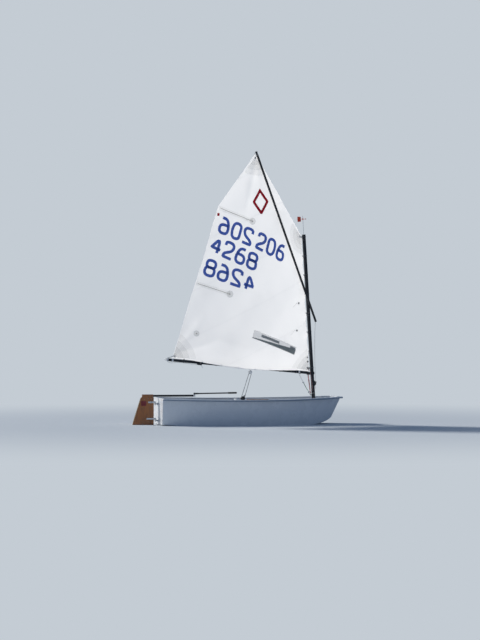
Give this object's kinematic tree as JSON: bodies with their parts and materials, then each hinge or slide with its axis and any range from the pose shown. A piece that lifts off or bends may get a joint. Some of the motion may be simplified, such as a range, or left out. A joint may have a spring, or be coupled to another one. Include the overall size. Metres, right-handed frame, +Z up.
{
  "type": "sailing dinghy",
  "caption": "Small pram-bowed sailing dinghy with a raked mast, boom, sprit sail, rudder with tiller and extension, lifting daggerboard and soft buoyancy bags.",
  "frame": {"origin": "on the centreline at the waterline, halfway along the hull", "axes": "+X to the bow, +Y to port, +Z up"},
  "size_m": [2.6309, 1.1988, 4.1517],
  "materials": {
    "hull": "polished gelcoat",
    "rail": "moulded rail",
    "black_plastic": "moulded",
    "pale_plastic": "moulded",
    "stainless": "satin",
    "bag": "welded film",
    "webbing": "woven",
    "varnished_wood": "varnished plywood",
    "black_spar": "black anodised tube",
    "grip_rubber": "ribbed",
    "sailcloth": "resinated sailcloth",
    "cordage": "braided",
    "vane_red": "moulded"
  },
  "bodies": {
    "hull": {"hull_shell": "hull", "gunwale_port": "rail", "gunwale_starboard": "rail", "gunwale_bow": "rail", "gunwale_stern": "rail", "corner_knees": "hull", "midship_frame": "hull", "daggerboard_case": "hull", "mast_thwart": "hull", "mast_collar": "black_plastic", "mast_step": "black_plastic", "painter_eye": "stainless", "buoyancy_bag_port": "bag", "buoyancy_bag_starboard": "bag", "buoyancy_bag_bow": "bag", "bag_straps_port": "webbing", "bag_straps_starboard": "webbing", "toe_straps": "webbing", "ratchet_block": "black_plastic", "ratchet_sheave": "black_plastic", "gudgeon_upper": "stainless", "gudgeon_lower": "stainless"},
    "rig": {"mast": "black_spar", "mast_heel_plug": "black_plastic", "mast_head_plug": "black_plastic", "boom": "black_spar", "boom_jaw": "black_plastic", "boom_end_cap": "pale_plastic", "boom_block": "pale_plastic", "boom_block_sheave": "black_plastic", "sprit": "black_spar", "sprit_ends": "black_plastic", "sail": "sailcloth", "luff_ties": "cordage", "mast_fittings": "black_plastic", "boom_fittings": "black_plastic", "wind_vane_rod": "stainless"},
    "vane": {"wind_vane": "vane_red"},
    "rudder": {"rudder_blade": "varnished_wood", "pintle_upper": "stainless", "pintle_lower": "stainless", "rudder_head": "black_plastic", "tiller": "black_spar", "tiller_end": "pale_plastic"},
    "extension": {"extension_socket": "black_plastic", "extension_tube": "black_spar", "extension_grip": "grip_rubber"},
    "board": {"daggerboard": "varnished_wood", "daggerboard_battens": "varnished_wood"}
  },
  "joints": [
    {"name": "rig_swing", "type": "hinge", "parent": "hull", "child": "rig", "pos_m": [0.8555, 0, 0.037], "axis": [-0.061, 0, 0.9981], "range_deg": [-107.7, 72.3]},
    {"name": "rudder_turn", "type": "hinge", "parent": "hull", "child": "rudder", "pos_m": [-1.18, 0, 0.28], "axis": [0, 0, 1], "range_deg": [-75, 75]},
    {"name": "board_lift", "type": "slide", "parent": "hull", "child": "board", "axis": [0, 0, 1], "range_m": [0, 0.33]},
    {"name": "extension_swing", "type": "hinge", "parent": "rudder", "child": "extension", "pos_m": [-0.6872, 0, 0.385], "axis": [0, 0, 1], "range_deg": [-115, 65]},
    {"name": "vane_turn", "type": "hinge", "parent": "rig", "child": "vane", "pos_m": [0.70013, 0, 2.57725], "axis": [-0.061, 0, 0.9981], "continuous": true}
  ]
}
